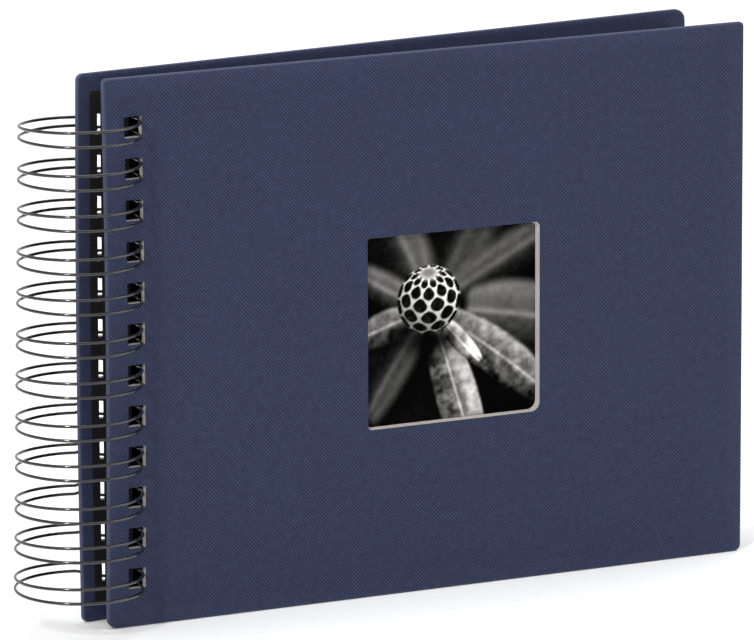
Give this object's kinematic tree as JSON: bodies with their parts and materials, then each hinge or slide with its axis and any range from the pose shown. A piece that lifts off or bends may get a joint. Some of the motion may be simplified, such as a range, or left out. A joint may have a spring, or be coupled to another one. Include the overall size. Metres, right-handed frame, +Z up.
{
  "type": "scrapbook album",
  "caption": "Landscape scrapbook album: cloth-covered boards with a square picture window and black leaves turning on a twin-loop wire spine.",
  "frame": {"origin": "centre of the footprint at the height of the covers' lower edges, which the album stands on", "axes": "+Z up the spine, +X from the spine to the fore-edge, -Y the way the front cover faces (before its 5 degrees of opening)"},
  "size_m": [0.248, 0.0414, 0.17],
  "materials": {
    "blue_cloth": "woven book cloth",
    "greyboard": "cut board",
    "black_lining": "uncoated black paper",
    "photo_print": "satin black and white print",
    "black_leaf": "uncoated black card",
    "black_wire": "nylon-coated steel wire"
  },
  "bodies": {
    "back_cover": {"back_cloth": "blue_cloth", "back_board": "greyboard", "back_lining": "black_lining"},
    "front_cover": {"front_cloth": "blue_cloth", "front_board": "greyboard", "front_lining": "black_lining", "window_print": "photo_print"},
    "wire": {"wire_binding": "black_wire"},
    "leaf_01": {"leaf_01": "black_leaf"},
    "leaf_02": {"leaf_02": "black_leaf"},
    "leaf_03": {"leaf_03": "black_leaf"},
    "leaf_04": {"leaf_04": "black_leaf"},
    "leaf_05": {"leaf_05": "black_leaf"},
    "leaf_06": {"leaf_06": "black_leaf"},
    "leaf_07": {"leaf_07": "black_leaf"},
    "leaf_08": {"leaf_08": "black_leaf"},
    "leaf_09": {"leaf_09": "black_leaf"},
    "leaf_10": {"leaf_10": "black_leaf"},
    "leaf_11": {"leaf_11": "black_leaf"},
    "leaf_12": {"leaf_12": "black_leaf"},
    "leaf_13": {"leaf_13": "black_leaf"},
    "leaf_14": {"leaf_14": "black_leaf"},
    "leaf_15": {"leaf_15": "black_leaf"},
    "leaf_16": {"leaf_16": "black_leaf"},
    "leaf_17": {"leaf_17": "black_leaf"},
    "leaf_18": {"leaf_18": "black_leaf"},
    "leaf_19": {"leaf_19": "black_leaf"},
    "leaf_20": {"leaf_20": "black_leaf"},
    "leaf_21": {"leaf_21": "black_leaf"},
    "leaf_22": {"leaf_22": "black_leaf"},
    "leaf_23": {"leaf_23": "black_leaf"},
    "leaf_24": {"leaf_24": "black_leaf"},
    "leaf_25": {"leaf_25": "black_leaf"}
  },
  "joints": [
    {"name": "front_cover_turn", "type": "hinge", "parent": "back_cover", "child": "front_cover", "pos_m": [-0.10535, 0.00173, 0], "axis": [0, 0, -1], "range_deg": [-5, 265]},
    {"name": "leaf_01_turn", "type": "hinge", "parent": "back_cover", "child": "leaf_01", "pos_m": [-0.10445, 0.00173, 0], "axis": [0, 0, -1], "range_deg": [-0.24, 10.24]},
    {"name": "leaf_02_turn", "type": "hinge", "parent": "back_cover", "child": "leaf_02", "pos_m": [-0.10445, 0.00173, 0], "axis": [0, 0, -1], "range_deg": [-0.43, 20.43]},
    {"name": "leaf_03_turn", "type": "hinge", "parent": "back_cover", "child": "leaf_03", "pos_m": [-0.10445, 0.00173, 0], "axis": [0, 0, -1], "range_deg": [-0.63, 30.63]},
    {"name": "leaf_04_turn", "type": "hinge", "parent": "back_cover", "child": "leaf_04", "pos_m": [-0.10445, 0.00173, 0], "axis": [0, 0, -1], "range_deg": [-0.82, 40.82]},
    {"name": "leaf_05_turn", "type": "hinge", "parent": "back_cover", "child": "leaf_05", "pos_m": [-0.10445, 0.00173, 0], "axis": [0, 0, -1], "range_deg": [-1.01, 51.01]},
    {"name": "leaf_06_turn", "type": "hinge", "parent": "back_cover", "child": "leaf_06", "pos_m": [-0.10445, 0.00173, 0], "axis": [0, 0, -1], "range_deg": [-1.2, 61.2]},
    {"name": "leaf_07_turn", "type": "hinge", "parent": "back_cover", "child": "leaf_07", "pos_m": [-0.10445, 0.00173, 0], "axis": [0, 0, -1], "range_deg": [-1.4, 71.4]},
    {"name": "leaf_08_turn", "type": "hinge", "parent": "back_cover", "child": "leaf_08", "pos_m": [-0.10445, 0.00173, 0], "axis": [0, 0, -1], "range_deg": [-1.59, 81.59]},
    {"name": "leaf_09_turn", "type": "hinge", "parent": "back_cover", "child": "leaf_09", "pos_m": [-0.10445, 0.00173, 0], "axis": [0, 0, -1], "range_deg": [-1.78, 91.78]},
    {"name": "leaf_10_turn", "type": "hinge", "parent": "back_cover", "child": "leaf_10", "pos_m": [-0.10445, 0.00173, 0], "axis": [0, 0, -1], "range_deg": [-1.97, 101.97]},
    {"name": "leaf_11_turn", "type": "hinge", "parent": "back_cover", "child": "leaf_11", "pos_m": [-0.10445, 0.00173, 0], "axis": [0, 0, -1], "range_deg": [-2.17, 112.17]},
    {"name": "leaf_12_turn", "type": "hinge", "parent": "back_cover", "child": "leaf_12", "pos_m": [-0.10445, 0.00173, 0], "axis": [0, 0, -1], "range_deg": [-2.36, 122.36]},
    {"name": "leaf_13_turn", "type": "hinge", "parent": "back_cover", "child": "leaf_13", "pos_m": [-0.10445, 0.00173, 0], "axis": [0, 0, -1], "range_deg": [-2.55, 132.55]},
    {"name": "leaf_14_turn", "type": "hinge", "parent": "back_cover", "child": "leaf_14", "pos_m": [-0.10445, 0.00173, 0], "axis": [0, 0, -1], "range_deg": [-2.74, 142.74]},
    {"name": "leaf_15_turn", "type": "hinge", "parent": "back_cover", "child": "leaf_15", "pos_m": [-0.10445, 0.00173, 0], "axis": [0, 0, -1], "range_deg": [-2.93, 152.93]},
    {"name": "leaf_16_turn", "type": "hinge", "parent": "back_cover", "child": "leaf_16", "pos_m": [-0.10445, 0.00173, 0], "axis": [0, 0, -1], "range_deg": [-3.13, 163.13]},
    {"name": "leaf_17_turn", "type": "hinge", "parent": "back_cover", "child": "leaf_17", "pos_m": [-0.10445, 0.00173, 0], "axis": [0, 0, -1], "range_deg": [-3.32, 173.32]},
    {"name": "leaf_18_turn", "type": "hinge", "parent": "back_cover", "child": "leaf_18", "pos_m": [-0.10445, 0.00173, 0], "axis": [0, 0, -1], "range_deg": [-3.51, 183.51]},
    {"name": "leaf_19_turn", "type": "hinge", "parent": "back_cover", "child": "leaf_19", "pos_m": [-0.10445, 0.00173, 0], "axis": [0, 0, -1], "range_deg": [-3.7, 193.7]},
    {"name": "leaf_20_turn", "type": "hinge", "parent": "back_cover", "child": "leaf_20", "pos_m": [-0.10445, 0.00173, 0], "axis": [0, 0, -1], "range_deg": [-3.9, 203.9]},
    {"name": "leaf_21_turn", "type": "hinge", "parent": "back_cover", "child": "leaf_21", "pos_m": [-0.10445, 0.00173, 0], "axis": [0, 0, -1], "range_deg": [-4.09, 214.09]},
    {"name": "leaf_22_turn", "type": "hinge", "parent": "back_cover", "child": "leaf_22", "pos_m": [-0.10445, 0.00173, 0], "axis": [0, 0, -1], "range_deg": [-4.28, 224.28]},
    {"name": "leaf_23_turn", "type": "hinge", "parent": "back_cover", "child": "leaf_23", "pos_m": [-0.10445, 0.00173, 0], "axis": [0, 0, -1], "range_deg": [-4.47, 234.47]},
    {"name": "leaf_24_turn", "type": "hinge", "parent": "back_cover", "child": "leaf_24", "pos_m": [-0.10445, 0.00173, 0], "axis": [0, 0, -1], "range_deg": [-4.67, 244.67]},
    {"name": "leaf_25_turn", "type": "hinge", "parent": "back_cover", "child": "leaf_25", "pos_m": [-0.10445, 0.00173, 0], "axis": [0, 0, -1], "range_deg": [-4.86, 254.86]},
    {"name": "wire_roll", "type": "hinge", "parent": "back_cover", "child": "wire", "pos_m": [-0.10445, 0.00173, 0], "axis": [0, 0, 1], "range_deg": [-2, 10]}
  ],
  "couplings": [
    {"joint": "leaf_01_turn", "follows": "front_cover_turn", "ratio": 0.038462},
    {"joint": "leaf_02_turn", "follows": "front_cover_turn", "ratio": 0.076923},
    {"joint": "leaf_03_turn", "follows": "front_cover_turn", "ratio": 0.11538},
    {"joint": "leaf_04_turn", "follows": "front_cover_turn", "ratio": 0.15385},
    {"joint": "leaf_05_turn", "follows": "front_cover_turn", "ratio": 0.19231},
    {"joint": "leaf_06_turn", "follows": "front_cover_turn", "ratio": 0.23077},
    {"joint": "leaf_07_turn", "follows": "front_cover_turn", "ratio": 0.26923},
    {"joint": "leaf_08_turn", "follows": "front_cover_turn", "ratio": 0.30769},
    {"joint": "leaf_09_turn", "follows": "front_cover_turn", "ratio": 0.34615},
    {"joint": "leaf_10_turn", "follows": "front_cover_turn", "ratio": 0.38462},
    {"joint": "leaf_11_turn", "follows": "front_cover_turn", "ratio": 0.42308},
    {"joint": "leaf_12_turn", "follows": "front_cover_turn", "ratio": 0.46154},
    {"joint": "leaf_13_turn", "follows": "front_cover_turn", "ratio": 0.5},
    {"joint": "leaf_14_turn", "follows": "front_cover_turn", "ratio": 0.53846},
    {"joint": "leaf_15_turn", "follows": "front_cover_turn", "ratio": 0.57692},
    {"joint": "leaf_16_turn", "follows": "front_cover_turn", "ratio": 0.61538},
    {"joint": "leaf_17_turn", "follows": "front_cover_turn", "ratio": 0.65385},
    {"joint": "leaf_18_turn", "follows": "front_cover_turn", "ratio": 0.69231},
    {"joint": "leaf_19_turn", "follows": "front_cover_turn", "ratio": 0.73077},
    {"joint": "leaf_20_turn", "follows": "front_cover_turn", "ratio": 0.76923},
    {"joint": "leaf_21_turn", "follows": "front_cover_turn", "ratio": 0.80769},
    {"joint": "leaf_22_turn", "follows": "front_cover_turn", "ratio": 0.84615},
    {"joint": "leaf_23_turn", "follows": "front_cover_turn", "ratio": 0.88462},
    {"joint": "leaf_24_turn", "follows": "front_cover_turn", "ratio": 0.92308},
    {"joint": "leaf_25_turn", "follows": "front_cover_turn", "ratio": 0.96154}
  ]
}
